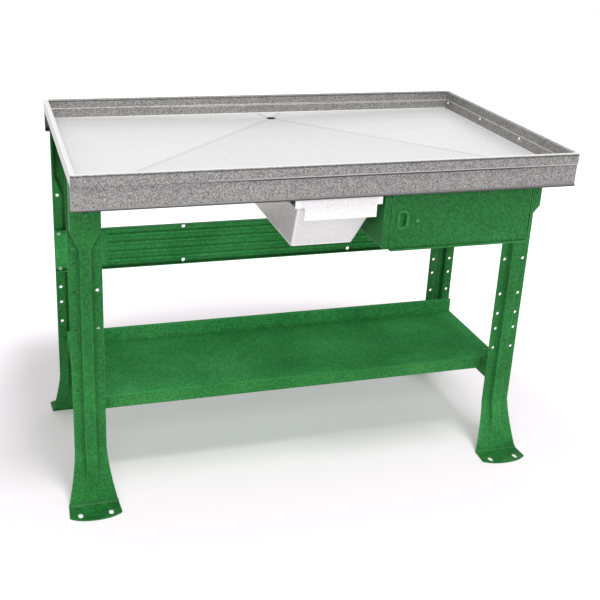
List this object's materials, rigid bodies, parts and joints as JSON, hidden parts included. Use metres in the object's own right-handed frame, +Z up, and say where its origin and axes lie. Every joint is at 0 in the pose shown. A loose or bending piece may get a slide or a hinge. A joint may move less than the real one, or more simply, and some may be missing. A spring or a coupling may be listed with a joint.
{
  "type": "drain workbench",
  "caption": "Steel shop bench with a creased stainless drain tray on top, a slide-out drain pan, a drawer, a ribbed back stringer, a low shelf and pressed legs with bolt-down feet",
  "frame": {"origin": "on the floor, under the middle of the whole bench's bounding box, which is also under the middle of the tray", "axes": "+X to the right as seen from the front, +Y to the back, +Z up"},
  "size_m": [1.2638, 0.73, 0.906],
  "materials": {
    "tray_steel": "satin",
    "band_steel": "matte",
    "pan_steel": "satin",
    "green_paint": "gloss",
    "zinc_steel": "satin"
  },
  "bodies": {
    "bench": {"tray_top": "tray_steel", "drain_spigot": "tray_steel", "apron_front": "band_steel", "apron_back": "band_steel", "leg_front_left": "green_paint", "leg_front_right": "green_paint", "leg_rear_left": "green_paint", "leg_rear_right": "green_paint", "end_channel_left": "green_paint", "end_channel_right": "green_paint", "cross_rail_front": "green_paint", "cross_rail_back": "green_paint", "stringer_back": "green_paint", "shelf_support_left": "green_paint", "shelf_support_right": "green_paint", "lower_shelf": "green_paint", "pan_rail_left": "green_paint", "pan_rail_right": "green_paint", "drawer_cabinet": "green_paint", "drawer_runner_left": "zinc_steel", "drawer_runner_right": "zinc_steel", "head_bolt_1": "zinc_steel", "head_bolt_2": "zinc_steel", "head_bolt_3": "zinc_steel", "head_bolt_4": "zinc_steel", "stringer_bolt_1": "zinc_steel", "stringer_bolt_2": "zinc_steel", "stringer_bolt_3": "zinc_steel", "stringer_bolt_4": "zinc_steel", "stringer_bolt_5": "zinc_steel", "stringer_bolt_6": "zinc_steel", "stringer_bolt_7": "zinc_steel", "stringer_bolt_8": "zinc_steel"},
    "drawer": {"drawer_box": "green_paint", "drawer_front": "green_paint", "drawer_slide_left": "zinc_steel", "drawer_slide_right": "zinc_steel", "drawer_pull": "green_paint", "drawer_lock": "zinc_steel"},
    "pan": {"drain_pan": "pan_steel"}
  },
  "joints": [
    {"name": "drawer_slide", "type": "slide", "parent": "bench", "child": "drawer", "axis": [0, -1, 0], "range_m": [0, 0.4]},
    {"name": "pan_slide", "type": "slide", "parent": "bench", "child": "pan", "axis": [0, -1, 0], "range_m": [0, 0.5]}
  ]
}
